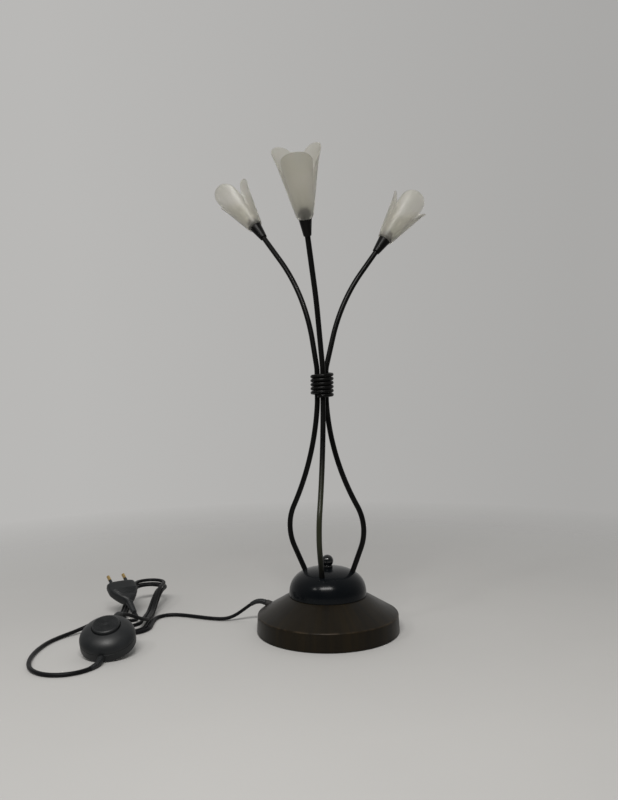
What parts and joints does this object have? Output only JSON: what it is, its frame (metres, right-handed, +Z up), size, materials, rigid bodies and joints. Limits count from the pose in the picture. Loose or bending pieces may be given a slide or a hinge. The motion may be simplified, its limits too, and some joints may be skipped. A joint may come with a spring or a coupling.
{
  "type": "tulip shade table lamp",
  "caption": "Table lamp of bent black tubes bound together at the middle, with frosted petal glass shades, a domed conical foot, and a cord with foot switch and plug.",
  "frame": {"origin": "centre of the foot's flat underside, on the foot's vertical axis at the floor", "axes": "+Z up along the foot's axis, -Y towards the front arm and the viewer, +X to the viewer's right, the cord leaving to -X"},
  "size_m": [0.4351, 0.284, 0.5299],
  "materials": {
    "felt": "matt felt",
    "steel": "zinc coated",
    "bronze_paint": "satin patina",
    "dome_paint": "satin",
    "ball_paint": "gloss",
    "tube_paint": "satin",
    "zinc": "bright",
    "winding": "tape wound",
    "rubber": "matt",
    "nylon": "matt",
    "brass": "bright",
    "lead_sleeve": "silicone sleeve",
    "cord": "satin",
    "holder": "matt",
    "bulb_glass": "clear",
    "frosted_glass": "frosted",
    "black_plastic": "satin"
  },
  "bodies": {
    "lamp": {"foot_pad": "felt", "bottom_plate": "steel", "base_shell": "bronze_paint", "dome_cover": "dome_paint", "tie_rod": "zinc", "rod_nuts": "zinc", "finial_collar": "ball_paint", "ball_finial": "ball_paint", "transformer_winding": "winding", "transformer_core": "steel", "transformer_pads": "rubber", "clamping_disc": "steel", "terminal_ring": "nylon", "terminal_screws": "brass", "winding_leads": "lead_sleeve", "mains_terminal": "nylon", "mains_lead": "cord", "cord_clamp": "nylon", "clamp_screws": "zinc", "cord_bush": "rubber", "arm_left": "tube_paint", "arm_front": "tube_paint", "arm_right": "tube_paint", "arm_nuts": "zinc", "binding_core": "tube_paint", "binding_wire": "tube_paint", "cup_left": "tube_paint", "cup_front": "tube_paint", "cup_right": "tube_paint", "holder_left": "holder", "holder_front": "holder", "holder_right": "holder", "bulb_left": "bulb_glass", "bulb_front": "bulb_glass", "bulb_right": "bulb_glass", "bulb_pins": "zinc", "shade_rings": "holder", "shade_left": "frosted_glass", "shade_front": "frosted_glass", "shade_right": "frosted_glass", "lead_left": "lead_sleeve", "lead_front": "lead_sleeve", "lead_right": "lead_sleeve", "power_cord": "cord", "cord_hank": "cord", "switch_cord": "cord", "plug_cord": "cord", "plug_body": "black_plastic", "plug_pins": "brass", "plug_sleeves": "black_plastic", "switch_base": "black_plastic", "switch_cover": "black_plastic", "switch_contacts": "brass", "switch_screws": "zinc"},
    "button": {"switch_button": "black_plastic"}
  },
  "joints": [
    {"name": "switch_press", "type": "slide", "parent": "lamp", "child": "button", "axis": [0, 0.3746, -0.9272], "range_m": [0, 0.003], "stiffness_N_per_m": 400}
  ]
}
